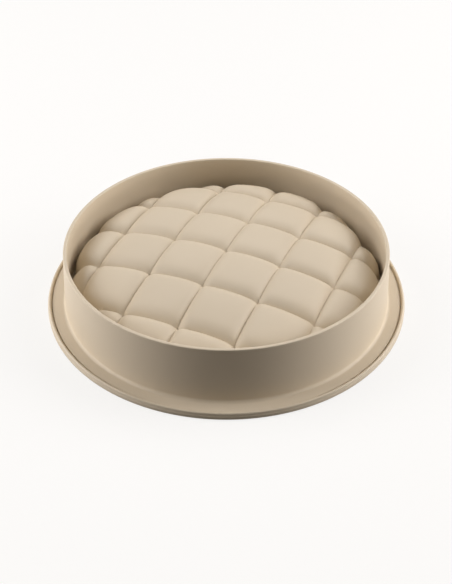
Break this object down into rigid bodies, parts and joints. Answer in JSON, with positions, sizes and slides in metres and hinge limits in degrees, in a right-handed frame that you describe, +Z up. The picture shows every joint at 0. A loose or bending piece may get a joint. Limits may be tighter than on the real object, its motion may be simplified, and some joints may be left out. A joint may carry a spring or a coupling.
{
  "type": "silicone cake mould",
  "caption": "Round silicone cake mould with a bowed crown quilted in squares, a standing ring around it and a flat beaded brim at the cavity's mouth.",
  "frame": {"origin": "on the mould's axis, at the brim's underside", "axes": "+Z up along the mould's axis, from the brim to the crown; +X to the right and +Y away from the viewer in the picture"},
  "size_m": [0.2258, 0.2258, 0.04],
  "materials": {
    "silicone": "satin"
  },
  "bodies": {
    "mould": {"ring_wall": "silicone", "brim": "silicone", "edge_bead": "silicone", "crown_web": "silicone"},
    "crown": {"quilted_crown": "silicone"}
  },
  "joints": [
    {"name": "crown_press", "type": "slide", "parent": "mould", "child": "crown", "axis": [0, 0, -1], "range_m": [0, 0.01], "stiffness_N_per_m": 1500, "springref_m": -0.0005, "deforming": ["crown_web"]}
  ]
}
